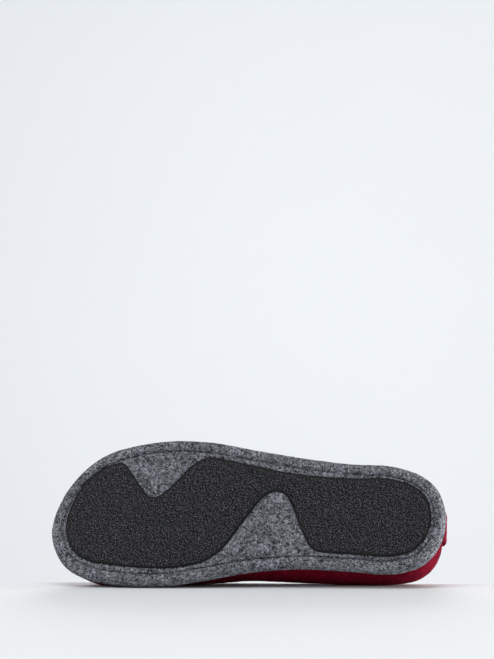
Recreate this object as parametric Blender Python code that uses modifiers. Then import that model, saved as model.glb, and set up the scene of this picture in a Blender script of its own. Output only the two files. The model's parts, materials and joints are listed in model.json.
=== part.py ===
"""Felt house slipper for the left foot, lying on its medial side with sole edge and upper on the floor.

Sizes are millimetres until a mesh is made. The slipper is shaped standing upright and then laid down.
While it stands, along runs from the heel end (0) to the toe tip, across is positive towards the medial
side, and height is above the tread. An upright point is stored as (-along, across, height).
"""

import math

import bmesh
import bpy
import numpy as np

MM = 0.001

# Driving sizes
LENGTH = 262.0
BALL_WIDTH = 98.5
HEEL_HEIGHT = 56.0
INSTEP_HEIGHT = 68.0
FELT = 3.6
GAP = 0.3

# How it lies: the sole stands on its medial edge and leans back against the upper
LEAN_DEG = 15.37

# Sole edge from above, in percent of the length and of the ball width
HEEL_END_ACROSS = 1.0
TOE_TIP_ACROSS = 12.5
SECTIONS = (
    # along, lateral, medial
    (2.7, 22.3, 22.7),
    (5.7, 29.0, 30.6),
    (11.8, 35.2, 36.1),
    (24.0, 37.8, 35.2),
    (35.9, 41.8, 33.6),
    (48.1, 47.4, 35.6),
    (60.3, 52.8, 41.5),
    (69.5, 53.5, 45.6),
    (78.6, 50.2, 46.1),
    (85.5, 45.0, 44.0),
    (91.6, 34.3, 40.0),
    (96.2, 20.2, 32.7),
)

# Walking surface: flat under heel and forefoot, a shallow arch between them, then the toe spring
WAIST_LIFT = 1.2
WAIST_SPAN = (86.0, 150.0)
TOE_SPRING = 6.0
SPRING_START = 192.0

# Rubber tread
TREAD_THICK = 1.4
BEVEL_WIDTH = 3.4
BEVEL_HEIGHT = 0.9
TREAD_BITES = (
    # side, along, inset from the sole edge
    ("heel", 0.0, 9.8),
    ("lateral", 31.0, 9.2),
    ("lateral", 98.0, 12.0),
    ("lateral", 140.0, 11.0),
    ("lateral", 153.0, 10.8),
    ("lateral", 163.5, 14.2),
    ("lateral", 176.0, 25.2),
    ("lateral", 190.5, 35.2),
    ("lateral", 198.5, 37.6),
    ("lateral", 204.5, 36.2),
    ("lateral", 209.2, 27.4),
    ("lateral", 216.0, 12.0),
    ("lateral", 222.5, 9.0),
    ("lateral", 245.0, 7.6),
    ("toe", LENGTH, 10.2),
    ("medial", 250.0, 10.6),
    ("medial", 211.0, 11.8),
    ("medial", 170.0, 10.4),
    ("medial", 156.0, 11.8),
    ("medial", 143.2, 18.0),
    ("medial", 126.3, 36.9),
    ("medial", 118.4, 46.7),
    ("medial", 110.7, 51.5),
    ("medial", 102.6, 46.6),
    ("medial", 95.0, 24.2),
    ("medial", 89.6, 13.4),
    ("medial", 81.0, 10.2),
    ("medial", 12.0, 10.6),
)

# Felt sole shell: its section, from the flat bottom round the edge and over the rim to the inner floor
SHELL_BOTTOM = TREAD_THICK + GAP
EDGE_REACH = 4.4
EDGE_RISE = 5.0
EDGE_STEPS = 5
FLOOR_HEIGHT = SHELL_BOTTOM + 3.4
RIM_WALL = 3.6
RIM_TOP = (
    # inset, height
    (0.0, 9.7),
    (0.8, 12.6),
    (1.8, 14.8),
    (2.8, 15.5),
    (RIM_WALL, 14.8),
    (RIM_WALL, 8.4),
    (7.0, FLOOR_HEIGHT),
)

# Felt footbed: its top is raised at the heel cup and under the arch
FOOTBED_THICK = 2.8
HEEL_CUP_RISE = 2.5
HEEL_CUP_END = 75.0
ARCH_RISE = 4.0
ARCH_MIDDLE = 105.0
ARCH_SPREAD = 38.0

# Upper: a skirt inside the rim, then one Bezier rib from the rim to the collar at each row
SKIRT_INSET = RIM_WALL + GAP
SKIRT_FOOT = 9.0
SKIRT_HEAD = 15.8
RIBS = (
    # foot and collar along, collar lateral and medial, climb from heel height to instep height,
    # then the rib's handles: rise and flare at the rim, run, spread and drop at the collar
    (0.0, 1.4, 0.0, 0.0, 0.0, 14.0, 2.8, 0.0, 2.0, 16.0),
    (4.6, 4.4, 21.8, 22.4, -0.12, 13.0, 7.6, 0.0, 5.9, 16.0),
    (13.4, 12.8, 33.0, 33.4, -0.50, 10.5, 8.0, 0.0, 5.6, 15.0),
    (24.8, 24.0, 35.5, 34.9, -0.70, 10.0, 8.4, 0.0, 6.2, 14.0),
    (36.3, 35.0, 36.5, 33.0, -0.52, 11.0, 9.0, 1.0, 7.2, 13.0),
    (47.7, 44.5, 35.0, 28.0, 0.0, 13.0, 5.4, 5.0, 8.0, 11.0),
    (63.0, 51.5, 26.0, 21.0, 0.55, 17.0, 4.8, 15.0, 13.0, 10.0),
    (76.3, 55.5, 16.5, 13.0, 0.85, 18.0, 2.6, 30.0, 9.0, 12.0),
    (89.7, 57.6, 8.0, 6.5, 0.98, 21.0, 9.0, 44.0, 4.0, 16.0),
    (100.0, 58.2, 0.5, 0.5, 1.0, 19.0, 6.0, 52.0, 0.0, 18.0),
)

# Heel tab: a strip over the back seam, from just above the rim to just below the collar
TAB_WIDTH = 22.0
TAB_THICK = 2.4
TAB_SPAN = (0.16, 0.94)

# Mesh density
SIDE_STEPS = 42
TREAD_STEPS = 96
RIB_STEPS = 13
FILL_COLUMNS = 6
TAB_COLUMNS = 6
TAB_ROWS = 10

COLOURS = {
    # piece: base colour, roughness
    "tread": ((0.022, 0.022, 0.025), 0.62),
    "sole": ((0.125, 0.128, 0.142), 0.95),
    "insole": ((0.150, 0.152, 0.165), 0.95),
    "upper": ((0.220, 0.006, 0.018), 0.92),
    "heel_tab": ((0.240, 0.008, 0.022), 0.92),
}


def ring_curve(knots, values, at, turning=False):
    """Cubic curve of period 2 through rows of values at the knots; with turning, no row is overshot."""
    knots = np.asarray(knots, float)
    values = np.asarray(values, float)
    step = np.diff(np.append(knots, knots[0] + 2))[:, None]
    secant = (np.roll(values, -1, axis=0) - values) / step
    before = np.roll(secant, 1, axis=0)
    step_before = np.roll(step, 1, axis=0)
    slope = (before * step + secant * step_before) / (step + step_before)
    if turning:
        slope = np.where(before * secant <= 0, 0, slope)
        limit = 3 * np.minimum(abs(before), abs(secant))
        slope = np.clip(slope, -limit, limit)
    at = (np.asarray(at, float) - knots[0]) % 2 + knots[0]
    i = np.searchsorted(knots, at, side="right") - 1
    j = (i + 1) % len(knots)
    h = step[i]
    t = (at - knots[i])[:, None] / h
    return (
        (1 + 2 * t) * (1 - t) ** 2 * values[i]
        + t * (1 - t) ** 2 * h * slope[i]
        + t**2 * (3 - 2 * t) * values[j]
        + t**2 * (t - 1) * h * slope[j]
    )


def edge_knots():
    """The sole edge's own points, from the heel end up the lateral side and back down the medial one."""
    lateral = [(a * LENGTH / 100, -out * BALL_WIDTH / 100) for a, out, _ in SECTIONS]
    medial = [(a * LENGTH / 100, out * BALL_WIDTH / 100) for a, _, out in SECTIONS]
    heel = (0.0, HEEL_END_ACROSS * BALL_WIDTH / 100)
    toe = (LENGTH, TOE_TIP_ACROSS * BALL_WIDTH / 100)
    return np.array([heel, *lateral, toe, *medial[::-1]])


def edge_table(samples=2000):
    """Fine points of the sole edge and their turn, which is 0 at the heel end and 1 at the toe."""
    points = edge_knots()
    chord = np.linalg.norm(np.roll(points, -1, axis=0) - points, axis=1)
    knots = np.concatenate([[0], np.cumsum(chord)[:-1]]) * 2 / chord.sum()
    raw = np.linspace(0, 2, samples + 1)
    fine = ring_curve(knots, points, raw)
    run = np.concatenate([[0], np.cumsum(np.linalg.norm(np.diff(fine, axis=0), axis=1))])
    toe = np.interp(knots[len(SECTIONS) + 1], raw, run)
    turn = np.where(run <= toe, run / toe, 1 + (run - toe) / (run[-1] - toe))
    return turn, fine


EDGE_TURN, EDGE_FINE = edge_table()


def edge(turn):
    """Points on the sole edge and their outward normals, both (along, across)."""
    turn = np.asarray(turn, float)

    def at(t):
        return np.stack([np.interp(t % 2, EDGE_TURN, EDGE_FINE[:, k]) for k in (0, 1)], axis=1)

    span = 0.004
    ahead = at(turn + span) - at(turn - span)
    normal = np.stack([ahead[:, 1], -ahead[:, 0]], axis=1)
    return at(turn), normal / np.linalg.norm(normal, axis=1, keepdims=True)


def turn_at(side, along):
    """Turn of the edge point at this distance from the heel, on that side."""
    if side in ("heel", "toe"):
        return 0.0 if side == "heel" else 1.0
    half = EDGE_TURN <= 1 if side == "lateral" else EDGE_TURN >= 1
    reach = EDGE_FINE[half, 0]
    order = np.argsort(reach)
    return float(np.interp(along, reach[order], EDGE_TURN[half][order]))


def tread_lift(along):
    """Height of the walking surface above the floor: arch under the waist, then toe spring."""
    low, high = WAIST_SPAN
    waist = np.sin(np.pi * np.clip((along - low) / (high - low), 0, 1)) ** 2
    spring = np.clip((along - SPRING_START) / (LENGTH - SPRING_START), 0, 1) ** 2
    return WAIST_LIFT * waist + TOE_SPRING * spring


def upright(plan, height):
    """Upright points from (along, across) rows and heights above the walking surface."""
    return np.stack([-plan[:, 0], plan[:, 1], height + tread_lift(plan[:, 0])], axis=1)


def ring_at(turn, inset, height):
    """A ring of upright points at this inset from the sole edge."""
    point, normal = edge(turn)
    return upright(point - normal * np.asarray(inset).reshape(-1, 1), height)


def even_turns(side_steps):
    return np.arange(2 * side_steps) / side_steps


def new_object(name, mesh):
    obj = bpy.data.objects.new(name, mesh)
    bpy.data.collections["house_slipper"].objects.link(obj)
    mesh.materials.append(felt_or_rubber(name))
    mesh.shade_smooth()
    mesh.set_sharp_from_angle(angle=math.radians(40))
    return obj


def felt_or_rubber(name):
    colour, roughness = COLOURS[name]
    material = bpy.data.materials.new(name)
    material.use_nodes = True
    shader = material.node_tree.nodes["Principled BSDF"]
    shader.inputs["Base Color"].default_value = (*colour, 1)
    shader.inputs["Roughness"].default_value = roughness
    shader.inputs["Metallic"].default_value = 0
    return material


def add_ring(bm, points):
    return [bm.verts.new(p * MM) for p in points]


def bridge(bm, low, high):
    """A band of quads between two rings of equal count."""
    for j in range(len(low)):
        k = (j + 1) % len(low)
        bm.faces.new((low[j], low[k], high[k], high[j]))


def fill_across(bm, ring, height_of):
    """Closes a ring with rows of quads that run from its lateral to its medial side."""
    half = len(ring) // 2
    rows = [[ring[0]]]
    for j in range(1, half):
        start, end = ring[j].co.copy(), ring[-j].co.copy()
        inner = []
        for k in range(1, FILL_COLUMNS):
            point = start.lerp(end, k / FILL_COLUMNS)
            point.z = height_of(-point.x / MM, k / FILL_COLUMNS) * MM
            inner.append(bm.verts.new(point))
        rows.append([ring[j], *inner, ring[-j]])
    rows.append([ring[half]])
    for low, high in zip(rows, rows[1:]):
        for k in range(max(len(low), len(high)) - 1):
            corners = [low[min(k, len(low) - 1)], low[min(k + 1, len(low) - 1)]]
            corners += [high[min(k + 1, len(high) - 1)], high[min(k, len(high) - 1)]]
            bm.faces.new(list(dict.fromkeys(corners)))


def level(height):
    """The height of a face that runs level above the walking surface, as a function of its place."""
    return lambda along, share: height + tread_lift(along)


def closed_mesh(name, rings, low_height, high_height):
    """A solid from rings stacked from its underside, closed at both ends."""
    bm = bmesh.new()
    loops = [add_ring(bm, ring) for ring in rings]
    for low, high in zip(loops, loops[1:]):
        bridge(bm, low, high)
    fill_across(bm, loops[0], low_height)
    fill_across(bm, loops[-1], high_height)
    bmesh.ops.recalc_face_normals(bm, faces=bm.faces)
    mesh = bpy.data.meshes.new(name)
    bm.to_mesh(mesh)
    bm.free()
    return new_object(name, mesh)


def tread_inset(turn):
    rows = sorted((turn_at(side, along), inset) for side, along, inset in TREAD_BITES)
    knots = [turn for turn, _ in rows]
    return ring_curve(knots, [[inset] for _, inset in rows], turn, turning=True)[:, 0]


def make_tread():
    """The rubber sheet: its border is bevelled on the walking side."""
    turn = even_turns(TREAD_STEPS)
    inset = tread_inset(turn)
    levels = ((BEVEL_WIDTH, 0.0), (0.0, BEVEL_HEIGHT), (0.0, TREAD_THICK))
    rings = [ring_at(turn, inset + extra, height) for extra, height in levels]
    closed_mesh("tread", rings, level(0.0), level(TREAD_THICK))


def shell_profile():
    """The sole shell's section as (inset, height), from its flat bottom to its inner floor."""
    angles = [math.pi / 2 * k / EDGE_STEPS for k in range(EDGE_STEPS + 1)]
    middle = SHELL_BOTTOM + EDGE_RISE
    round_edge = [(EDGE_REACH * (1 - math.sin(a)), middle - EDGE_RISE * math.cos(a)) for a in angles]
    return [*round_edge, *RIM_TOP]


def make_sole():
    turn = even_turns(SIDE_STEPS)
    rings = [ring_at(turn, inset, height) for inset, height in shell_profile()]
    closed_mesh("sole", rings, level(SHELL_BOTTOM), level(FLOOR_HEIGHT))


def footbed_height(along, share):
    """Top of the footbed: share runs from its lateral edge (0) to its medial edge (1)."""
    side = 2 * share - 1
    cup = HEEL_CUP_RISE * side**2 * np.clip(1 - along / HEEL_CUP_END, 0, 1)
    arch = ARCH_RISE * np.clip(side, 0, 1) ** 2 * np.exp(-(((along - ARCH_MIDDLE) / ARCH_SPREAD) ** 2))
    return FLOOR_HEIGHT + GAP + FOOTBED_THICK + cup + arch + tread_lift(along)


def make_insole():
    """The footbed fills the shell's floor up to the skirt of the upper."""
    turn = even_turns(SIDE_STEPS)
    inset = SKIRT_INSET + FELT + GAP
    low = ring_at(turn, inset + GAP, FLOOR_HEIGHT + GAP)
    high = ring_at(turn, inset, FLOOR_HEIGHT + GAP)
    share = np.where(turn < 1, 0.0, 1.0)
    share[[0, SIDE_STEPS]] = 0.5
    high[:, 2] = footbed_height(-high[:, 0], share)
    closed_mesh("insole", [low, high], level(FLOOR_HEIGHT + GAP), footbed_height)


def rib_rows(turn):
    """The rib table at each turn: collar along, across and height, then the five handle sizes."""
    knots = []
    values = []
    for side, sign in (("lateral", -1), ("medial", 1)):
        rows = RIBS[:-1] if side == "lateral" else RIBS[:0:-1]
        for foot, along, lateral, medial, climb, *handles in rows:
            across = sign * (lateral if side == "lateral" else medial) * BALL_WIDTH / 100
            height = HEEL_HEIGHT + climb * (INSTEP_HEIGHT - HEEL_HEIGHT)
            end = "heel" if foot == 0 else "toe" if foot == 100 else side
            knots.append(turn_at(end, foot * LENGTH / 100))
            values.append((along * LENGTH / 100, across, height, *handles))
    return ring_curve(knots, values, turn)


def upper_rib(turn, share):
    """Upright points of the upper's outer face: share 0 is at the rim and 1 at the collar."""
    foot, normal = edge(turn)
    collar_along, across, height, rise, flare, run, spread, drop = rib_rows(turn).T
    collar = np.stack([-collar_along, across, height], axis=1)
    out = np.stack([-normal[:, 0], normal[:, 1], np.zeros(len(turn))], axis=1)
    start = upright(foot - normal * SKIRT_INSET, SKIRT_HEAD)
    leave = start + out * flare[:, None]
    leave[:, 2] += rise
    arrive = collar + out * spread[:, None]
    arrive[:, 0] -= run
    arrive[:, 2] -= drop
    s = np.broadcast_to(np.asarray(share, float), len(turn))[:, None]
    return (
        (1 - s) ** 3 * start
        + 3 * s * (1 - s) ** 2 * leave
        + 3 * s**2 * (1 - s) * arrive
        + s**3 * collar
    )


def sheet_object(name, rows, closed_ring, thickness, offset):
    """An open sheet of rows of points, thickened to a closed wall."""
    bm = bmesh.new()
    loops = [add_ring(bm, row) for row in rows]
    for low, high in zip(loops, loops[1:]):
        for j in range(len(low) if closed_ring else len(low) - 1):
            k = (j + 1) % len(low)
            bm.faces.new((low[k], low[j], high[j], high[k]))
    mesh = bpy.data.meshes.new(name)
    bm.to_mesh(mesh)
    bm.free()
    obj = new_object(name, mesh)
    wall = obj.modifiers.new("wall", "SOLIDIFY")
    wall.thickness = thickness * MM
    wall.offset = offset
    wall.use_even_offset = True
    return obj


def make_upper():
    turn = even_turns(SIDE_STEPS)
    rows = [ring_at(turn, SKIRT_INSET, height) for height in (SKIRT_FOOT, (SKIRT_FOOT + SKIRT_HEAD) / 2)]
    rows += [upper_rib(turn, k / RIB_STEPS) for k in range(RIB_STEPS + 1)]
    sheet_object("upper", rows, True, FELT, -1)


def make_heel_tab():
    """A patch of the upper's own face over the back seam, set off from it and thickened outwards."""
    side_length = np.linalg.norm(np.diff(EDGE_FINE[EDGE_TURN <= 1], axis=0), axis=1).sum()
    reach = TAB_WIDTH / 2 / side_length
    turn = np.linspace(-reach, reach, TAB_COLUMNS + 1)
    shares = np.linspace(*TAB_SPAN, TAB_ROWS + 1)
    small = 1e-3
    rows = []
    for share in shares:
        around = upper_rib(turn + small, share) - upper_rib(turn - small, share)
        rising = upper_rib(turn, share + small) - upper_rib(turn, share - small)
        normal = np.cross(rising, around)
        normal /= np.linalg.norm(normal, axis=1, keepdims=True)
        rows.append(upper_rib(turn, share) + normal * GAP)
    sheet_object("heel_tab", rows, False, TAB_THICK, 1)


def lay_down():
    """Turns the upright slipper onto its medial side, with the origin under the middle of its box."""
    pose = bpy.data.objects.new("lying_pose", None)
    bpy.data.collections["house_slipper"].objects.link(pose)
    parts = [obj for obj in bpy.data.collections["house_slipper"].objects if obj.type == "MESH"]
    for obj in parts:
        obj.parent = pose
    pose.rotation_euler = (math.radians(-90 - LEAN_DEG), 0, 0)
    bpy.context.view_layer.update()
    graph = bpy.context.evaluated_depsgraph_get()
    corners = []
    for obj in parts:
        shape = obj.evaluated_get(graph)
        corners += [shape.matrix_world @ vertex.co for vertex in shape.data.vertices]
    low = np.min(corners, axis=0)
    high = np.max(corners, axis=0)
    pose.location = (-(low[0] + high[0]) / 2, -(low[1] + high[1]) / 2, -low[2])
    bpy.context.view_layer.update()


def main():
    for obj in list(bpy.data.objects):
        bpy.data.objects.remove(obj)
    parts = bpy.data.collections.new("house_slipper")
    bpy.context.scene.collection.children.link(parts)
    make_tread()
    make_sole()
    make_insole()
    make_upper()
    make_heel_tab()
    lay_down()


main()
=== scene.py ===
"""Looks of the left felt house slipper that lies on its medial side.

The slipper is shaped upright in millimetres: along runs from the heel end (0) to the toe tip, across is
positive towards the medial side, and height is above the tread. An upright point is (-along, across,
height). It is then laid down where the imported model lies, in metres.
"""

import json
import math

import bpy
import numpy as np
from mathutils import Euler, Matrix, Quaternion, Vector, noise
from mathutils.bvhtree import BVHTree


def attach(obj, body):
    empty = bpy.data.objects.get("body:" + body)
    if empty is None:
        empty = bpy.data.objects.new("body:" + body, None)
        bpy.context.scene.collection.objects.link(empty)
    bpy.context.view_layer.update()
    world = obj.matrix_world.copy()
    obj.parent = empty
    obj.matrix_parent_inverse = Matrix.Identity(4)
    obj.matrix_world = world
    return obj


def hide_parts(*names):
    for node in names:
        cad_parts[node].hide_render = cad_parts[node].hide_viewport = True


MM = 0.001
PICTURE = (494, 659)

# Sizes of the solids
LENGTH = 262.0
BALL_WIDTH = 98.5
HEEL_HEIGHT = 56.0
INSTEP_HEIGHT = 68.0
FELT = 3.6
GAP = 0.3
LEAN_DEG = 15.37
HEEL_MOUNT_ALONG = 50.0

# Sole edge from above, in percent of the length and of the ball width
HEEL_END_ACROSS = 1.0
TOE_TIP_ACROSS = 12.5
SECTIONS = (
    # along, lateral, medial
    (2.7, 22.3, 22.7),
    (5.7, 29.0, 30.6),
    (11.8, 35.2, 36.1),
    (24.0, 37.8, 35.2),
    (35.9, 41.8, 33.6),
    (48.1, 47.4, 35.6),
    (60.3, 52.8, 41.5),
    (69.5, 53.5, 45.6),
    (78.6, 50.2, 46.1),
    (85.5, 45.0, 44.0),
    (91.6, 34.3, 40.0),
    (96.2, 20.2, 32.7),
)

# Walking surface: flat under heel and forefoot, a shallow arch between them, then the toe spring
WAIST_LIFT = 1.2
WAIST_SPAN = (86.0, 150.0)
TOE_SPRING = 6.0
SPRING_START = 192.0

# Rubber tread
TREAD_THICK = 1.4
BEVEL_WIDTH = 3.4
BEVEL_HEIGHT = 0.9
TREAD_BITES = (
    # side, along, inset from the sole edge
    ("heel", 0.0, 9.8),
    ("lateral", 31.0, 9.2),
    ("lateral", 98.0, 12.0),
    ("lateral", 140.0, 11.0),
    ("lateral", 153.0, 10.8),
    ("lateral", 163.5, 14.2),
    ("lateral", 176.0, 25.2),
    ("lateral", 190.5, 35.2),
    ("lateral", 198.5, 37.6),
    ("lateral", 204.5, 36.2),
    ("lateral", 209.2, 27.4),
    ("lateral", 216.0, 12.0),
    ("lateral", 222.5, 9.0),
    ("lateral", 245.0, 7.6),
    ("toe", LENGTH, 10.2),
    ("medial", 250.0, 10.6),
    ("medial", 211.0, 11.8),
    ("medial", 170.0, 10.4),
    ("medial", 156.0, 11.8),
    ("medial", 143.2, 18.0),
    ("medial", 126.3, 36.9),
    ("medial", 118.4, 46.7),
    ("medial", 110.7, 51.5),
    ("medial", 102.6, 46.6),
    ("medial", 95.0, 24.2),
    ("medial", 89.6, 13.4),
    ("medial", 81.0, 10.2),
    ("medial", 12.0, 10.6),
)

# Felt sole shell
SHELL_BOTTOM = TREAD_THICK + GAP
FLOOR_HEIGHT = SHELL_BOTTOM + 3.4
RIM_WALL = 3.6
RIM_TOP = (
    # inset, height
    (0.0, 9.7),
    (0.8, 12.6),
    (1.8, 14.8),
    (2.8, 15.5),
    (RIM_WALL, 14.8),
    (RIM_WALL, 8.4),
    (7.0, FLOOR_HEIGHT),
)

# Felt footbed
FOOTBED_THICK = 2.8
HEEL_CUP_RISE = 2.5
HEEL_CUP_END = 75.0
ARCH_RISE = 4.0
ARCH_MIDDLE = 105.0
ARCH_SPREAD = 38.0

# Upper
SKIRT_INSET = RIM_WALL + GAP
SKIRT_FOOT = 9.0
SKIRT_HEAD = 15.8
RIBS = (
    # foot and collar along, collar lateral and medial, climb from heel height to instep height,
    # then the rib's handles: rise and flare at the rim, run, spread and drop at the collar
    (0.0, 1.4, 0.0, 0.0, 0.0, 14.0, 2.8, 0.0, 2.0, 16.0),
    (4.6, 4.4, 21.8, 22.4, -0.12, 13.0, 7.6, 0.0, 5.9, 16.0),
    (13.4, 12.8, 33.0, 33.4, -0.50, 10.5, 8.0, 0.0, 5.6, 15.0),
    (24.8, 24.0, 35.5, 34.9, -0.70, 10.0, 8.4, 0.0, 6.2, 14.0),
    (36.3, 35.0, 36.5, 33.0, -0.52, 11.0, 9.0, 1.0, 7.2, 13.0),
    (47.7, 44.5, 35.0, 28.0, 0.0, 13.0, 5.4, 5.0, 8.0, 11.0),
    (63.0, 51.5, 26.0, 21.0, 0.55, 17.0, 4.8, 15.0, 13.0, 10.0),
    (76.3, 55.5, 16.5, 13.0, 0.85, 18.0, 2.6, 30.0, 9.0, 12.0),
    (89.7, 57.6, 8.0, 6.5, 0.98, 21.0, 9.0, 44.0, 4.0, 16.0),
    (100.0, 58.2, 0.5, 0.5, 1.0, 19.0, 6.0, 52.0, 0.0, 18.0),
)

# Heel tab
TAB_WIDTH = 22.0
TAB_THICK = 2.4
TAB_SPAN = (0.16, 0.94)

# Mesh density: steps along each side of the sole edge, columns from side to side, rows up the wall
TREAD_STEPS = 600
TREAD_COLUMNS = 140
SOLE_STEPS = 360
SOLE_COLUMNS = 72
SECTION_STEPS = 3
FOOTBED_STEPS = 240
FOOTBED_COLUMNS = 60
UPPER_STEPS = 240
UPPER_ROWS = 56
SKIRT_ROWS = 4
TAB_STEPS = 36
TAB_ROWS = 64
FLOOR_COLUMNS = 8
HIDDEN_COLUMNS = 6

# Pebbles of the rubber's mesh. They start and fade in over shares of the bevel's width
PEBBLE = 1.5
PEBBLE_DEEP = 0.32
PEBBLE_SCATTER = 0.9
PEBBLE_STEEP = 2.2
PEBBLE_ROUND = 0.8
GRAIN_START = 0.2
GRAIN_FADE = 0.4

# Felt form that the solids leave out
SOLE_SECTION = (
    # inset from the sole edge, height above the shell's flat bottom: the crease, the bead and the edge
    (12.0, 0.0),
    (9.4, -0.15),
    (8.3, -0.1),
    (7.6, 1.4),
    (6.9, 0.1),
    (6.0, -0.5),
    (4.5, -0.95),
    (3.0, -0.85),
    (1.8, -0.35),
    (1.0, 0.45),
    (0.5, 1.5),
    (0.2, 3.0),
    (0.0, 5.0),
)

# The crease stays clear of the rubber. The lead-in and lead-out points only steer the ends of the curve,
# which takes in the first rows of the rim's table
CREASE_INSET = 7.6
CREASE_CLEAR = 0.6
SECTION_LEAD_IN = 13.6
RIM_LEAD_OUT = 12.6
RIM_ROUND_ROWS = 5
BOTTOM_DIP = 0.2

# Unevenness of the felt in millimetres. The upper's first rows are smooth, and the lumps grow over the next
LUMPS = {
    # piece: rows of height, width, seed
    "sole_edge": ((0.12, 1.8, 1), (0.14, 5.0, 2), (0.2, 22.0, 3)),
    "sole_bottom": ((0.12, 1.8, 1), (0.14, 5.0, 2)),
    "footbed": ((0.15, 3.0, 3), (0.2, 18.0, 8)),
    "upper": ((0.08, 2.0, 4), (0.12, 7.0, 5), (0.4, 34.0, 6)),
}
SMOOTH_ROWS = 5
LUMPY_AFTER_ROWS = 6

# Give of the soft wall and the roundness of the cut edges
SAGS = (
    # where the soft medial wall sinks to the floor: along, reach, amount
    (20.0, 13.0, 2.1),
    (121.0, 18.0, 1.7),
    (224.0, 24.0, 2.4),
)
SAG_ACROSS = 34.0
SAG_HEIGHT = 33.0
SAG_TALL = 15.0
UPPER_EDGE_ROUND = 1.1
TAB_EDGE_ROUND = 0.7
EDGE_SEGMENTS = 3
EDGE_ANGLE_DEG = 50.0

# Stitches of the tab; arch is a share of the thickness, and tip the thickness left at a stitch's ends
STITCH_LONG = 2.6
STITCH_THICK = 0.55
STITCH_GAP = 1.0
STITCH_MARGIN = 2.2
STITCH_STEPS = 7
STITCH_SIDES = 8
STITCH_ARCH = 0.42
STITCH_SINK = 0.12
STITCH_TIP = 0.55
SEAM_STEPS = 60

# Loose wool on the felt; pull turns the strands along the sole's edge
WOOL = (
    # mesh, piece, tone, strands, length, width, lift, share that stands off, how far, pull
    ("sole_light_wool", "sole", "light", 4600, 4.0, 0.44, 0.16, 0.06, 1.5, 1.5),
    ("sole_dark_wool", "sole", "dark", 3600, 3.6, 0.44, 0.14, 0.06, 1.5, 1.5),
    ("sole_streak_wool", "sole", "pale", 1500, 6.0, 0.50, 0.22, 0.0, 0.0, 5.0),
    ("sole_stray_wool", "sole", "dark", 60, 9.0, 0.22, 0.20, 1.0, 3.5, 0.0),
    ("footbed_light_wool", "footbed", "light", 2600, 3.4, 0.48, 0.16, 0.05, 1.2, 0.0),
    ("footbed_dark_wool", "footbed", "dark", 2000, 3.2, 0.44, 0.14, 0.05, 1.2, 0.0),
    ("upper_light_wool", "upper", "light_red", 5200, 3.8, 0.42, 0.14, 0.08, 1.5, 0.0),
    ("upper_dark_wool", "upper", "dark_red", 5200, 3.6, 0.42, 0.12, 0.08, 1.5, 0.0),
    ("tab_wool", "tab", "light_red", 420, 3.0, 0.34, 0.12, 0.08, 1.0, 0.0),
)
WOOL_FIRST_SEED = 11

# Each strand is a strip of this many steps, whose points follow these shares of lift, width and stand-off
STRAND_STEPS = 4
STRAND_LIFT = (-0.6, 0.8, 1.0, 0.8, -0.6)
STRAND_WIDTH = (0.3, 0.9, 1.0, 0.9, 0.3)
STRAND_STAND_OFF = (0.0, 0.05, 0.2, 0.5, 1.0)
LOOSE_WIDTH = 0.45
STRAND_BEND = 0.45
STRAND_WAVER = 0.15

# Spread of single strands about the table's sizes
LENGTH_SPREAD = (0.6, 1.4)
LIFT_SPREAD = (0.5, 1.3)
STAND_OFF_SPREAD = (0.3, 1.0)
WIDTH_SPREAD = (0.6, 1.3)

# A strand starts only where no other piece lies over the felt between these heights, in metres
COVER_CLEAR = 1e-5
COVER_REACH = 0.004

# Studio in metres: the table is flat to just behind the slipper's middle, then falls away
TABLE_NEAR = -5.0
TABLE_RIDGE = 0.008
TABLE_FAR = 1.25
TABLE_FALL_DEG = 6.0
TABLE_HALF_WIDE = 5.0
TABLE_COLOUR = (0.94, 0.955, 0.97)
WALL_AWAY = 4.0
WALL_HALF_WIDE = 8.0
WALL_FOOT = -5.0
WALL_HEAD = 7.0
WALL_COLOUR = (0.85, 0.87, 0.89)
SKY_COLOUR = (0.965, 0.985, 1.0, 1)
SKY_STRENGTH = 0.42
LAMPS = (
    # name, place, aim, size, power, colour
    ("back_lamp", (0.0, 2.2, 0.85), (0.0, 0.0, 0.0), 1.1, 20.0, (1.0, 1.0, 1.0)),
    ("top_lamp", (-0.1, -1.2, 2.25), (0.0, -0.2, 0.0), 1.4, 15.6, (1.0, 1.0, 1.0)),
    ("front_lamp", (-1.75, -1.65, 1.4), (0.0, 0.0, 0.04), 1.4, 13.6, (0.98, 0.99, 1.0)),
    ("right_lamp", (2.2, 0.1, 0.12), (0.0, 0.0, 0.04), 0.3, 56.0, (1.0, 0.985, 0.97)),
    ("wall_lamp", (0.05, 1.3, 0.15), (0.05, 4.0, 0.15), 0.8, 33.0, (0.97, 0.985, 1.0)),
)

# Camera: distance from the tread's middle, rise above it, swing towards the heel, scale at that distance,
# and the pixel where the tread's middle shows
CAMERA_AWAY = 2.0
CAMERA_RISE_DEG = 3.33
CAMERA_SWING_DEG = 3.5
PIXELS_PER_MM = 1.509
AIM_PIXEL = (247.5, 517.2)
SENSOR_HEIGHT = 36.0


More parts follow.
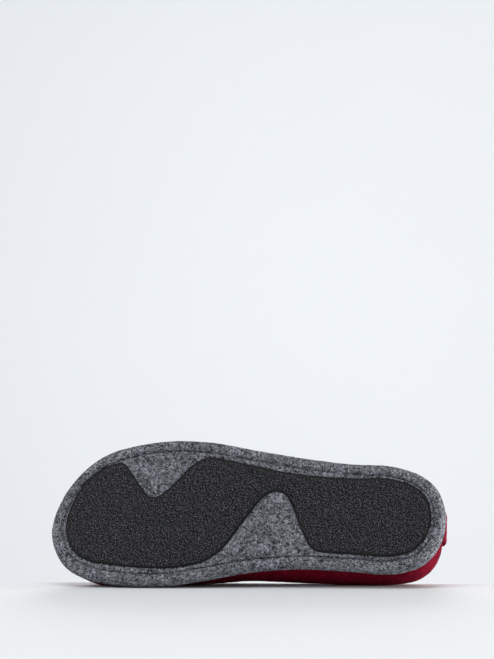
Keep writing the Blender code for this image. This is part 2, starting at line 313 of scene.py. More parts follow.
def ring_curve(knots, values, at, turning=False):
    """Cubic curve of period 2 through rows of values at the knots; with turning, no row is overshot."""
    knots = np.asarray(knots, float)
    values = np.asarray(values, float)
    step = np.diff(np.append(knots, knots[0] + 2))[:, None]
    secant = (np.roll(values, -1, axis=0) - values) / step
    before = np.roll(secant, 1, axis=0)
    step_before = np.roll(step, 1, axis=0)
    slope = (before * step + secant * step_before) / (step + step_before)
    if turning:
        slope = np.where(before * secant <= 0, 0, slope)
        limit = 3 * np.minimum(abs(before), abs(secant))
        slope = np.clip(slope, -limit, limit)
    at = (np.asarray(at, float) - knots[0]) % 2 + knots[0]
    i = np.searchsorted(knots, at, side="right") - 1
    j = (i + 1) % len(knots)
    h = step[i]
    t = (at - knots[i])[:, None] / h
    return (
        (1 + 2 * t) * (1 - t) ** 2 * values[i]
        + t * (1 - t) ** 2 * h * slope[i]
        + t**2 * (3 - 2 * t) * values[j]
        + t**2 * (t - 1) * h * slope[j]
    )


def edge_knots():
    """The sole edge's own points, from the heel end up the lateral side and back down the medial one."""
    lateral = [(a * LENGTH / 100, -out * BALL_WIDTH / 100) for a, out, _ in SECTIONS]
    medial = [(a * LENGTH / 100, out * BALL_WIDTH / 100) for a, _, out in SECTIONS]
    heel = (0.0, HEEL_END_ACROSS * BALL_WIDTH / 100)
    toe = (LENGTH, TOE_TIP_ACROSS * BALL_WIDTH / 100)
    return np.array([heel, *lateral, toe, *medial[::-1]])


def edge_table(samples=4000):
    """Fine points of the sole edge and their turn, which is 0 at the heel end and 1 at the toe."""
    points = edge_knots()
    chord = np.linalg.norm(np.roll(points, -1, axis=0) - points, axis=1)
    knots = np.concatenate([[0], np.cumsum(chord)[:-1]]) * 2 / chord.sum()
    raw = np.linspace(0, 2, samples + 1)
    fine = ring_curve(knots, points, raw)
    run = np.concatenate([[0], np.cumsum(np.linalg.norm(np.diff(fine, axis=0), axis=1))])
    toe = np.interp(knots[len(SECTIONS) + 1], raw, run)
    turn = np.where(run <= toe, run / toe, 1 + (run - toe) / (run[-1] - toe))
    return turn, fine


EDGE_TURN, EDGE_FINE = edge_table()


def edge(turn):
    """Points on the sole edge and their outward normals, both (along, across)."""
    turn = np.asarray(turn, float)

    def at(t):
        """Edge points at these turns."""
        return np.stack([np.interp(t % 2, EDGE_TURN, EDGE_FINE[:, k]) for k in (0, 1)], axis=1)

    span = 0.004
    ahead = at(turn + span) - at(turn - span)
    normal = np.stack([ahead[:, 1], -ahead[:, 0]], axis=1)
    return at(turn), normal / np.linalg.norm(normal, axis=1, keepdims=True)


def turn_at(side, along):
    """Turn of the edge point at this distance from the heel, on that side."""
    if side in ("heel", "toe"):
        return 0.0 if side == "heel" else 1.0
    half = EDGE_TURN <= 1 if side == "lateral" else EDGE_TURN >= 1
    reach = EDGE_FINE[half, 0]
    order = np.argsort(reach)
    return float(np.interp(along, reach[order], EDGE_TURN[half][order]))


def tread_lift(along):
    """Height of the walking surface above the floor: arch under the waist, then toe spring."""
    low, high = WAIST_SPAN
    waist = np.sin(np.pi * np.clip((along - low) / (high - low), 0, 1)) ** 2
    spring = np.clip((along - SPRING_START) / (LENGTH - SPRING_START), 0, 1) ** 2
    return WAIST_LIFT * waist + TOE_SPRING * spring


def upright(plan, height):
    """Upright points from (along, across) rows and heights above the walking surface."""
    return np.stack([-plan[:, 0], plan[:, 1], height + tread_lift(plan[:, 0])], axis=1)


def ring_at(turn, inset, height):
    """A ring of upright points at this inset from the sole edge."""
    point, normal = edge(turn)
    return upright(point - normal * np.asarray(inset).reshape(-1, 1), height)


def even_turns(side_steps):
    """Turns round the sole edge with this many steps on each side."""
    return np.arange(2 * side_steps) / side_steps


def tread_inset(turn):
    """How far the rubber's outline lies in from the sole edge."""
    rows = sorted((turn_at(side, along), inset) for side, along, inset in TREAD_BITES)
    knots = [turn for turn, _ in rows]
    return ring_curve(knots, [[inset] for _, inset in rows], turn, turning=True)[:, 0]


def footbed_height(along, share):
    """Top of the footbed: share runs from its lateral edge (0) to its medial edge (1)."""
    side = 2 * share - 1
    cup = HEEL_CUP_RISE * side**2 * np.clip(1 - along / HEEL_CUP_END, 0, 1)
    arch = ARCH_RISE * np.clip(side, 0, 1) ** 2 * np.exp(-(((along - ARCH_MIDDLE) / ARCH_SPREAD) ** 2))
    return FLOOR_HEIGHT + GAP + FOOTBED_THICK + cup + arch + tread_lift(along)


def rib_rows(turn):
    """The rib table at each turn: collar along, across and height, then the five handle sizes."""
    knots = []
    values = []
    for side, sign in (("lateral", -1), ("medial", 1)):
        rows = RIBS[:-1] if side == "lateral" else RIBS[:0:-1]
        for foot, along, lateral, medial, climb, *handles in rows:
            across = sign * (lateral if side == "lateral" else medial) * BALL_WIDTH / 100
            height = HEEL_HEIGHT + climb * (INSTEP_HEIGHT - HEEL_HEIGHT)
            end = "heel" if foot == 0 else "toe" if foot == 100 else side
            knots.append(turn_at(end, foot * LENGTH / 100))
            values.append((along * LENGTH / 100, across, height, *handles))
    return ring_curve(knots, values, turn)


def upper_rib(turn, share):
    """Upright points of the upper's outer face: share 0 is at the rim and 1 at the collar."""
    foot, normal = edge(turn)
    collar_along, across, height, rise, flare, run, spread, drop = rib_rows(turn).T
    collar = np.stack([-collar_along, across, height], axis=1)
    out = np.stack([-normal[:, 0], normal[:, 1], np.zeros(len(turn))], axis=1)
    start = upright(foot - normal * SKIRT_INSET, SKIRT_HEAD)
    leave = start + out * flare[:, None]
    leave[:, 2] += rise
    arrive = collar + out * spread[:, None]
    arrive[:, 0] -= run
    arrive[:, 2] -= drop
    s = np.broadcast_to(np.asarray(share, float), len(turn))[:, None]
    return (
        (1 - s) ** 3 * start
        + 3 * s * (1 - s) ** 2 * leave
        + 3 * s**2 * (1 - s) * arrive
        + s**3 * collar
    )


# Placing and mesh making

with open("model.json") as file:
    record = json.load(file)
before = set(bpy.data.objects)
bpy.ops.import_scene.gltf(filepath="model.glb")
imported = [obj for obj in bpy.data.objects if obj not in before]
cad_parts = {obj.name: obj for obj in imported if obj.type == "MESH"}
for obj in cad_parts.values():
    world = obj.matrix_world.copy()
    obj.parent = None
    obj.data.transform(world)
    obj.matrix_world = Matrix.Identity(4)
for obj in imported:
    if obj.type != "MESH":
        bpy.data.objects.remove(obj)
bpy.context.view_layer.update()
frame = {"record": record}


def lying_pose():
    """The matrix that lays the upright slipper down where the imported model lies."""
    turn = Euler((math.radians(-90 - LEAN_DEG), 0, 0)).to_matrix()
    mount = next(m for m in frame["record"]["mounts"] if m["name"] == "heel_tread")
    here = turn @ Vector((-HEEL_MOUNT_ALONG * MM, 0, 0))
    return Matrix.Translation(Vector(mount["pos_m"]) - here) @ turn.to_4x4()


POSE = np.array(lying_pose())


def lay(points):
    """Row frame metres from upright millimetres."""
    return np.asarray(points) * MM @ POSE[:3, :3].T + POSE[:3, 3]


def ring_faces(start, count, rows, flip=False):
    """Quads between stacked rings of equal count."""
    j = np.arange(count)
    k = (j + 1) % count
    faces = []
    for r in range(rows - 1):
        low = start + r * count
        quad = np.stack([low + j, low + k, low + count + k, low + count + j], axis=1)
        faces.append(quad[:, ::-1] if flip else quad)
    return np.concatenate(faces)


def grid_faces(table):
    """Quads of a grid of point indices."""
    corners = [table[:-1, :-1], table[:-1, 1:], table[1:, 1:], table[1:, :-1]]
    return np.stack(corners, axis=2).reshape(-1, 4)


def across_fill(ring, columns, ring_first, new_first, flip=False):
    """Inner points and faces that close a ring by rows from its lateral to its medial side.

    ring_first is the mesh index of the ring's first point, and new_first that of the first inner point.
    """
    half = len(ring) // 2
    share = np.arange(1, columns) / columns
    start = ring[1:half]
    end = ring[:half:-1]
    inner = start[:, None] * (1 - share)[None, :, None] + end[:, None] * share[None, :, None]
    index = new_first + np.arange((half - 1) * (columns - 1)).reshape(half - 1, columns - 1)
    lateral = ring_first + np.arange(1, half)[:, None]
    medial = ring_first + np.arange(2 * half - 1, half, -1)[:, None]
    table = np.concatenate([lateral, index, medial], axis=1)
    faces = grid_faces(table).tolist()
    faces += [(ring_first, b, a) for a, b in zip(table[0, :-1], table[0, 1:])]
    faces += [(ring_first + half, a, b) for a, b in zip(table[-1, :-1], table[-1, 1:])]
    if flip:
        faces = [tuple(face)[::-1] for face in faces]
    return inner.reshape(-1, 3), np.tile(share, half - 1), faces


def wobble(points, size, seed):
    """Smooth noise from -1 to 1 at upright points, with lumps of about this size in millimetres."""
    shift = Vector((seed * 17.3, seed * 5.1, seed * 9.7))
    return np.array([noise.noise(Vector(p) / size + shift) for p in points])


def lumps(points, piece):
    """Unevenness of a felt piece at upright points, in millimetres."""
    return sum(height * wobble(points, width, seed) for height, width, seed in LUMPS[piece])


def add_mesh(name, placed, faces, material):
    """A smooth piece from row frame points, kept above the floor."""
    placed[:, 2] = np.maximum(placed[:, 2], 0)
    mesh = bpy.data.meshes.new(name)
    mesh.from_pydata(placed.tolist(), [], faces)
    mesh.validate()
    mesh.materials.append(material)
    mesh.shade_smooth()
    obj = bpy.data.objects.new(name, mesh)
    bpy.context.scene.collection.objects.link(obj)
    return obj


def make_object(name, points, faces, material, node=None):
    """A piece from upright points; with a node, it stands for that solid."""
    obj = add_mesh(name, lay(points), [tuple(face) for face in faces], material)
    if node:
        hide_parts(node)
    return obj


# Materials

# Felt: places of the dark, middle and light flecks on the noise, share of the second direction, patches
FLECK_STOPS = (0.36, 0.49, 0.63)
SECOND_FLECKS = 0.45
CLOUD_SCALE = 110.0
STRAND_TONE_SCALE = 420.0

# Rubber: the grain's cells, their slant, squash and sway, and the patchy tone that varies the painted
# glints on the cells and the dark rubber between them
GRAIN_SCALE = 1250.0
GRAIN_SLANT = 0.7
GRAIN_SQUASH = 0.55
SWAY_SCALE = 330.0
SWAY = 0.0008
PATCHY_TONE_SCALE = 420.0


def new_material(name, colour, roughness):
    """A material with this colour and roughness, its nodes and its shader."""
    material = bpy.data.materials.new(name)
    material.use_nodes = True
    shader = material.node_tree.nodes["Principled BSDF"]
    shader.inputs["Base Color"].default_value = (*colour, 1)
    shader.inputs["Roughness"].default_value = roughness
    return material, material.node_tree, shader


def noise_node(tree, scale, detail, roughness, stretch=(1, 1, 1), turn=(0, 0, 0), twist=0.0):
    """Noise over the object's own coordinates in metres; stretch draws the grains out into fibres."""
    nodes = tree.nodes
    coords = nodes.new("ShaderNodeTexCoord")
    mapping = nodes.new("ShaderNodeMapping")
    mapping.inputs["Scale"].default_value = stretch
    mapping.inputs["Rotation"].default_value = turn
    texture = nodes.new("ShaderNodeTexNoise")
    texture.inputs["Scale"].default_value = scale
    texture.inputs["Detail"].default_value = detail
    texture.inputs["Roughness"].default_value = roughness
    texture.inputs["Distortion"].default_value = twist
    tree.links.new(coords.outputs["Object"], mapping.inputs["Vector"])
    tree.links.new(mapping.outputs["Vector"], texture.inputs["Vector"])
    return texture.outputs["Fac"]


def ramp_node(tree, value, stops):
    """Colours at places along a value."""
    ramp = tree.nodes.new("ShaderNodeValToRGB")
    while len(ramp.color_ramp.elements) < len(stops):
        ramp.color_ramp.elements.new(0.5)
    for element, (place, colour) in zip(ramp.color_ramp.elements, stops):
        element.position = place
        element.color = (*colour, 1)
    tree.links.new(value, ramp.inputs["Fac"])
    return ramp.outputs["Color"]


def mix_node(tree, blend, amount, first, second):
    """The second colour blended into the first by a fixed amount."""
    mix = tree.nodes.new("ShaderNodeMix")
    mix.data_type = "RGBA"
    mix.blend_type = blend
    mix.inputs["Factor"].default_value = amount
    tree.links.new(first, mix.inputs[6])
    tree.links.new(second, mix.inputs[7])
    return mix.outputs[2]


def bump_node(tree, height, strength, distance):
    """A normal that makes the height show as relief."""
    bump = tree.nodes.new("ShaderNodeBump")
    bump.inputs["Strength"].default_value = strength
    bump.inputs["Distance"].default_value = distance
    tree.links.new(height, bump.inputs["Height"])
    return bump.outputs["Normal"]


def grey(value):
    """A grey with a touch of blue."""
    return (value, value * 1.015, value * 1.15)


def felt_material(name, dark, middle, light, grain, patch):
    """Pressed wool: squiggly light and dark flecks in two directions over soft cloudy patches."""
    material, tree, shader = new_material(name, middle, 0.95)
    fibre = {"detail": 2.5, "roughness": 0.6, "twist": 1.2}
    first = noise_node(tree, grain, stretch=(1.0, 0.55, 1.0), turn=(0.0, 0.0, 0.5), **fibre)
    second = noise_node(tree, grain * 1.2, stretch=(0.55, 1.0, 0.8), turn=(0.6, 0.3, 0.2), **fibre)
    stops = tuple(zip(FLECK_STOPS, (dark, middle, light)))
    tones = [ramp_node(tree, value, stops) for value in (first, second)]
    flecks = mix_node(tree, "MIX", SECOND_FLECKS, *tones)
    clouds = noise_node(tree, CLOUD_SCALE, detail=4.0, roughness=0.65)
    patches = ramp_node(tree, clouds, ((0.35, (1 - patch,) * 3), (0.65, (1 + patch,) * 3)))
    tree.links.new(mix_node(tree, "MULTIPLY", 1.0, flecks, patches), shader.inputs["Base Color"])
    fine = noise_node(tree, grain * 1.2, detail=4.0, roughness=0.7)
    relief = bump_node(tree, fine, strength=0.8, distance=0.0006)
    tree.links.new(relief, shader.inputs["Normal"])
    shader.inputs["Specular IOR Level"].default_value = 0.08
    return material


def strand_material(name, low, high):
    """Single wool strands whose tone varies from place to place."""
    material, tree, shader = new_material(name, low, 0.9)
    place = noise_node(tree, STRAND_TONE_SCALE, detail=2.0, roughness=0.6)
    tone = ramp_node(tree, place, ((0.35, low), (0.65, high)))
    tree.links.new(tone, shader.inputs["Base Color"])
    shader.inputs["Specular IOR Level"].default_value = 0.12
    return material


def rubber_material():
    """Matt black rubber with painted glints: each grain cell's crest is painted light grey, standing for
    highlights off the pebbles. The mesh carries grain, 1 on the pebbled field where the glints are painted,
    and plan, its place in metres.
    """
    material, tree, shader = new_material("tread_black_rubber", (0.012, 0.012, 0.013), 0.55)
    mask = tree.nodes.new("ShaderNodeAttribute")
    mask.attribute_name = "grain"
    plan = tree.nodes.new("ShaderNodeAttribute")
    plan.attribute_name = "plan"
    slant = tree.nodes.new("ShaderNodeMapping")
    slant.inputs["Rotation"].default_value = (0.0, 0.0, GRAIN_SLANT)
    sway = tree.nodes.new("ShaderNodeTexNoise")
    sway.inputs["Scale"].default_value = SWAY_SCALE
    sway.inputs["Detail"].default_value = 1.0
    swayed = mix_node(tree, "LINEAR_LIGHT", SWAY, plan.outputs["Vector"], sway.outputs["Color"])
    tree.links.new(plan.outputs["Vector"], sway.inputs["Vector"])
    tree.links.new(swayed, slant.inputs["Vector"])
    squash = tree.nodes.new("ShaderNodeMapping")
    squash.inputs["Scale"].default_value = (GRAIN_SQUASH, 1.0, 1.0)
    tree.links.new(slant.outputs["Vector"], squash.inputs["Vector"])
    cells = tree.nodes.new("ShaderNodeTexVoronoi")
    cells.voronoi_dimensions = "2D"
    cells.inputs["Scale"].default_value = GRAIN_SCALE
    tree.links.new(squash.outputs["Vector"], cells.inputs["Vector"])
    # Painted highlight: the cell crests get a light grey in the base colour, standing for glints off the
    # pebble tops. The same crests also drive the bump
    crest = ramp_node(tree, cells.outputs["Distance"], ((0.12, (1.0, 1.0, 1.0)), (0.40, (0.0, 0.0, 0.0))))
    glint_and_bump = mix_node(tree, "MULTIPLY", 1.0, crest, mask.outputs["Color"])
    patchy_tone = noise_node(tree, PATCHY_TONE_SCALE, detail=2.0, roughness=0.6)
    painted_glint = ramp_node(tree, patchy_tone, ((0.38, grey(0.085)), (0.62, grey(0.165))))
    base = ramp_node(tree, patchy_tone, ((0.35, grey(0.0036)), (0.65, grey(0.0052))))
    blend = tree.nodes.new("ShaderNodeMix")
    blend.data_type = "RGBA"
    tree.links.new(glint_and_bump, blend.inputs["Factor"])
    tree.links.new(base, blend.inputs[6])
    tree.links.new(painted_glint, blend.inputs[7])
    tree.links.new(blend.outputs[2], shader.inputs["Base Color"])
    rough = noise_node(tree, 700.0, detail=3.0, roughness=0.6)
    gloss = ramp_node(tree, rough, ((0.3, (0.44, 0.44, 0.44)), (0.7, (0.62, 0.62, 0.62))))
    tree.links.new(gloss, shader.inputs["Roughness"])
    relief = bump_node(tree, glint_and_bump, strength=0.7, distance=0.0003)
    tree.links.new(relief, shader.inputs["Normal"])
    shader.inputs["Specular IOR Level"].default_value = 0.18
    return material


GREY_FELT = felt_material("sole_grey_felt", grey(0.004), grey(0.076), grey(0.44), 670.0, 0.28)
FOOTBED_FELT = felt_material("footbed_grey_felt", grey(0.03), grey(0.14), grey(0.42), 620.0, 0.2)
DEEP_RED = (0.10, 0.001, 0.008)
RED = (0.155, 0.002, 0.014)
BRIGHT_RED = (0.23, 0.005, 0.024)
RED_FELT = felt_material("upper_red_felt", DEEP_RED, RED, BRIGHT_RED, 620.0, 0.1)
TAB_FELT = felt_material("tab_red_felt", RED, BRIGHT_RED, (0.30, 0.007, 0.032), 800.0, 0.08)
WOOL_TONES = {
    "light": strand_material("light_grey_wool", grey(0.20), grey(0.54)),
    "pale": strand_material("pale_grey_wool", grey(0.46), grey(0.80)),
    "dark": strand_material("dark_grey_wool", grey(0.022), grey(0.06)),
    "light_red": strand_material("light_red_wool", (0.22, 0.003, 0.020), (0.33, 0.012, 0.042)),
    "dark_red": strand_material("dark_red_wool", (0.07, 0.001, 0.006), (0.13, 0.002, 0.012)),
}
THREAD = strand_material("red_thread", (0.17, 0.002, 0.014), (0.26, 0.006, 0.026))
RUBBER = rubber_material()


# Rubber tread


def pebbles(plan):
    """Moulded grain of the tread, 0 in the grooves and 1 on the pebble tops, at (along, across) rows."""
    seed = 7
    tile = 128
    rng = np.random.default_rng(seed)
    jitter = rng.random((tile, tile, 2)) * PEBBLE_SCATTER + (1 - PEBBLE_SCATTER) / 2
    cell = np.floor(plan / PEBBLE).astype(int)
    distances = []
    for da in (-1, 0, 1):
        for db in (-1, 0, 1):
            near = cell + (da, db)
            middle = (near + jitter[near[:, 0] % tile, near[:, 1] % tile]) * PEBBLE
            distances.append(np.linalg.norm(plan - middle, axis=1))
    nearest = np.sort(np.stack(distances), axis=0)
    groove = (nearest[1] - nearest[0]) / PEBBLE
    return np.clip(groove * PEBBLE_STEEP, 0, 1) ** PEBBLE_ROUND


def distance_to(ring, points):
    """Shortest plan distance from points to a ring of plan points."""
    out = np.empty(len(points))
    block_size = 2000
    for start in range(0, len(points), block_size):
        block = slice(start, start + block_size)
        offset = points[block][:, None] - ring[None]
        out[block] = np.sqrt((offset**2).sum(axis=2).min(axis=1))
    return out


def make_tread():
    """The rubber sheet with its smooth bevelled border and pebbled field."""
    turn = even_turns(TREAD_STEPS)
    inset = tread_inset(turn)
    rim = ring_at(turn, inset, BEVEL_HEIGHT)
    back = ring_at(turn, inset, TREAD_THICK)
    count = len(turn)
    field, _, top = across_fill(rim, TREAD_COLUMNS, 0, 2 * count)
    plan = field[:, :2] * (-1, 1)
    away = distance_to(rim[:, :2] * (-1, 1), plan)
    slope = np.clip(away / BEVEL_WIDTH, 0, 1)
    bevel = BEVEL_HEIGHT * (1 - slope) ** 2
    grain = np.clip((away - GRAIN_START * BEVEL_WIDTH) / (GRAIN_FADE * BEVEL_WIDTH), 0, 1)
    relief = PEBBLE_DEEP * grain * (1 - pebbles(plan))
    field[:, 2] = bevel + relief + tread_lift(plan[:, 0])
    under, _, base = across_fill(back, HIDDEN_COLUMNS, count, 2 * count + len(field), flip=True)
    under[:, 2] = TREAD_THICK + tread_lift(-under[:, 0])
    walls = ring_faces(0, count, 2).tolist()
    points = np.concatenate([rim, back, field, under])
    obj = make_object("tread_rubber", points, [*top, *walls, *base], RUBBER, "tread")
    mask = np.zeros(len(points), dtype=np.float32)
    mask[2 * count : 2 * count + len(field)] = grain
    obj.data.attributes.new("grain", "FLOAT", "POINT").data.foreach_set("value", mask)
    place = (points * MM).astype(np.float32)
    obj.data.attributes.new("plan", "FLOAT_VECTOR", "POINT").data.foreach_set("vector", place.ravel())
    return obj


# Felt sole


def smooth_path(knots, steps):
    """Points on a smooth curve through the inner knots, this many to a span."""
    knots = np.asarray(knots, float)
    path = [knots[1]]
    for a, b, c, d in zip(knots, knots[1:], knots[2:], knots[3:]):
        for t in np.arange(1, steps + 1) / steps:
            cubic = 2 * b + (c - a) * t
            cubic = cubic + (2 * a - 5 * b + 4 * c - d) * t**2
            cubic = cubic + (3 * b - a - 3 * c + d) * t**3
            path.append(cubic / 2)
    return np.array(path)


def ring_normals(grid):
    """Unit normals of stacked rings of upright points, outward for rows that rise from the rim."""
    around = np.roll(grid, -1, axis=1) - np.roll(grid, 1, axis=1)
    rising = np.gradient(grid, axis=0)
    normal = np.cross(rising, around)
    return normal / np.linalg.norm(normal, axis=2, keepdims=True)


def make_sole():
    """The moulded felt shell: a pressed crease and bead round its bottom, a rim, and the floor inside."""
    turn = even_turns(SOLE_STEPS)
    count = len(turn)
    crease = np.minimum(CREASE_INSET, tread_inset(turn) - CREASE_CLEAR)
    low_part = [(inset, SHELL_BOTTOM + height) for inset, height in SOLE_SECTION]
    lead_in = (SECTION_LEAD_IN, SHELL_BOTTOM)
    lead_out = (RIM_WALL, RIM_LEAD_OUT)
    path = smooth_path([lead_in, *low_part, *RIM_TOP[:RIM_ROUND_ROWS], lead_out], SECTION_STEPS)
    rings = [ring_at(turn, inset * crease / CREASE_INSET, height) for inset, height in path]
    rows = len(rings)
    grid = np.array(rings)
    uneven = lumps(grid.reshape(-1, 3), "sole_edge")
    grid = grid + ring_normals(grid) * uneven.reshape(rows, count, 1)
    walls = [ring_at(turn, inset, height) for inset, height in RIM_TOP[RIM_ROUND_ROWS:]]
    rings = [*grid, *walls]
    rows = len(rings)
    bottom, _, low = across_fill(rings[0], SOLE_COLUMNS, 0, rows * count)
    uneven = np.maximum(lumps(bottom, "sole_bottom"), -BOTTOM_DIP)
    bottom[:, 2] = SHELL_BOTTOM + tread_lift(-bottom[:, 0]) + uneven
    last_ring = (rows - 1) * count
    inside_first = rows * count + len(bottom)
    inside, _, high = across_fill(rings[-1], FLOOR_COLUMNS, last_ring, inside_first, flip=True)
    inside[:, 2] = FLOOR_HEIGHT + tread_lift(-inside[:, 0])
    sides = ring_faces(0, count, rows).tolist()
    points = np.concatenate([*rings, bottom, inside])
    return make_object("felt_sole", points, [*low, *sides, *high], GREY_FELT, "sole")


# Footbed


def make_footbed():
    """The felt footbed with its heel cup and arch."""
    turn = even_turns(FOOTBED_STEPS)
    count = len(turn)
    inset = SKIRT_INSET + FELT + GAP
    low = ring_at(turn, inset + GAP, FLOOR_HEIGHT + GAP)
    high = ring_at(turn, inset, FLOOR_HEIGHT + GAP)
    share = np.where(turn < 1, 0.0, 1.0)
    share[[0, count // 2]] = 0.5
    high[:, 2] = footbed_height(-high[:, 0], share)
    top, top_share, top_faces = across_fill(high, FOOTBED_COLUMNS, count, 2 * count, flip=True)
    uneven = lumps(top, "footbed")
    top[:, 2] = footbed_height(-top[:, 0], top_share) + uneven
    base, _, base_faces = across_fill(low, HIDDEN_COLUMNS, 0, 2 * count + len(top))
    base[:, 2] = FLOOR_HEIGHT + GAP + tread_lift(-base[:, 0])
    sides = ring_faces(0, count, 2).tolist()
    points = np.concatenate([low, high, top, base])
    faces = [*top_faces, *base_faces, *sides]
    return make_object("felt_footbed", points, faces, FOOTBED_FELT, "insole")


# Upper and heel tab


def add_wall(obj, thickness, offset, edge_round):
    """Thickens a sheet and softens its cut edges."""
    wall = obj.modifiers.new("wall", "SOLIDIFY")
    wall.thickness = thickness * MM
    wall.offset = offset
    wall.use_even_offset = True
    soft = obj.modifiers.new("soft_edge", "BEVEL")
    soft.width = edge_round * MM
    soft.segments = EDGE_SEGMENTS
    soft.limit_method = "ANGLE"
    soft.angle_limit = math.radians(EDGE_ANGLE_DEG)
    return obj


def make_upper():
    """The red wall: a skirt inside the sole's rim, then the ribs up to the collar, sagging to the floor."""
    turn = even_turns(UPPER_STEPS)
    count = len(turn)
    heights = np.linspace(SKIRT_FOOT, SKIRT_HEAD, SKIRT_ROWS, endpoint=False)
    rows = [ring_at(turn, SKIRT_INSET, height) for height in heights]
    rows += [upper_rib(turn, share) for share in np.linspace(0, 1, UPPER_ROWS)]
    grid = np.array(rows)
    fade = np.clip((np.arange(len(rows)) - SMOOTH_ROWS) / LUMPY_AFTER_ROWS, 0, 1)[:, None]
    along = -grid[:, :, 0]
    medial = np.clip(grid[:, :, 1] / SAG_ACROSS, 0, 1)
    wall = np.exp(-(((grid[:, :, 2] - SAG_HEIGHT) / SAG_TALL) ** 2))
    out = lumps(grid.reshape(-1, 3), "upper").reshape(len(rows), count)
    for middle, reach, amount in SAGS:
        out = out + amount * np.exp(-(((along - middle) / reach) ** 2)) * medial * wall
    grid = grid + ring_normals(grid) * (out * fade)[:, :, None]
    faces = ring_faces(0, count, len(rows), flip=True).tolist()
    obj = make_object("red_upper", grid.reshape(-1, 3), faces, RED_FELT, "upper")
    return add_wall(obj, FELT, -1, UPPER_EDGE_ROUND)


def tab_reach():
    """Half the heel tab's width, as a turn."""
    side_length = np.linalg.norm(np.diff(EDGE_FINE[EDGE_TURN <= 1], axis=0), axis=1).sum()
    return TAB_WIDTH / 2 / side_length


def tab_point(turn, share, lift):
    """Upright points at a lift above the upper's outer face."""
    small = 1e-3
    around = upper_rib(turn + small, share) - upper_rib(turn - small, share)
    rising = upper_rib(turn, share + small) - upper_rib(turn, share - small)
    normal = np.cross(rising, around)
    normal /= np.linalg.norm(normal, axis=1, keepdims=True)
    return upper_rib(turn, share) + normal * lift, normal


def make_heel_tab():
    """The strip on the back seam, raised off the upper's own face."""
    turn = np.linspace(-tab_reach(), tab_reach(), TAB_STEPS)
    shares = np.linspace(*TAB_SPAN, TAB_ROWS)
    grid = np.array([tab_point(turn, share, GAP)[0] for share in shares])
    table = np.arange(grid.shape[0] * grid.shape[1]).reshape(grid.shape[:2])
    faces = grid_faces(table)[:, ::-1].tolist()
    obj = make_object("red_heel_tab", grid.reshape(-1, 3), faces, TAB_FELT, "heel_tab")
    return add_wall(obj, TAB_THICK, 1, TAB_EDGE_ROUND)


def stitch(middle, normal):
    """Points of one stitch, an arched length of thread over a short run of seam points."""
    steps = len(middle)
    across = np.cross(normal, np.gradient(middle, axis=0))
    across /= np.linalg.norm(across, axis=1, keepdims=True)
    arch = np.sin(np.pi * np.linspace(0, 1, steps))
    middle = middle + normal * (STITCH_ARCH * STITCH_THICK * arch - STITCH_SINK)[:, None]
    radius = STITCH_THICK / 2 * (STITCH_TIP + (1 - STITCH_TIP) * arch)
    angle = np.arange(STITCH_SIDES) * 2 * math.pi / STITCH_SIDES
    spoke = across[:, None] * np.cos(angle)[None, :, None] + normal[:, None] * np.sin(angle)[None, :, None]
    return (middle[:, None] + spoke * radius[:, None, None]).reshape(-1, 3)


def make_tab_stitches():
    """A row of thread stitches set in from the tab's outline."""
    ends = upper_rib(np.zeros(2), np.array(TAB_SPAN))
    tall = np.linalg.norm(ends[1] - ends[0])
    side = tab_reach() * (1 - 2 * STITCH_MARGIN / TAB_WIDTH)
    margin = (TAB_SPAN[1] - TAB_SPAN[0]) * STITCH_MARGIN / tall
    low = TAB_SPAN[0] + margin
    high = TAB_SPAN[1] - margin
    corners = np.array([(-side, low), (side, low), (side, high), (-side, high), (-side, low)])
    points = []
    faces = []
    for corner, next_corner in zip(corners, corners[1:]):
        turn, share = np.linspace(corner, next_corner, SEAM_STEPS).T
        track, up = tab_point(turn, share, GAP + TAB_THICK)
        run = np.concatenate([[0], np.cumsum(np.linalg.norm(np.diff(track, axis=0), axis=1))])
        for first in np.arange(STITCH_GAP, run[-1] - STITCH_LONG, STITCH_LONG + STITCH_GAP):
            at = np.linspace(first, first + STITCH_LONG, STITCH_STEPS)
            middle = np.stack([np.interp(at, run, track[:, k]) for k in range(3)], axis=1)
            normal = np.stack([np.interp(at, run, up[:, k]) for k in range(3)], axis=1)
            start = len(points) * STITCH_STEPS * STITCH_SIDES
            faces += ring_faces(start, STITCH_SIDES, STITCH_STEPS).tolist()
            points.append(stitch(middle, normal))
    return make_object("tab_stitches", np.concatenate(points), faces, THREAD)


# Wool strands on the felt


def surface_of(objects):
    """Points and triangles of finished pieces, in row frame metres."""
    graph = bpy.context.evaluated_depsgraph_get()
    points = []
    triangles = []
    first = 0
    for obj in objects:
        shape = obj.evaluated_get(graph)
        mesh = shape.to_mesh()
        mesh.calc_loop_triangles()
        place = np.empty(len(mesh.vertices) * 3)
        mesh.vertices.foreach_get("co", place)
        corner = np.empty(len(mesh.loop_triangles) * 3, dtype=np.int32)
        mesh.loop_triangles.foreach_get("vertices", corner)
        points.append(place.reshape(-1, 3))
        triangles.append(corner.reshape(-1, 3) + first)
        first += len(mesh.vertices)
        shape.to_mesh_clear()
    return np.concatenate(points), np.concatenate(triangles)


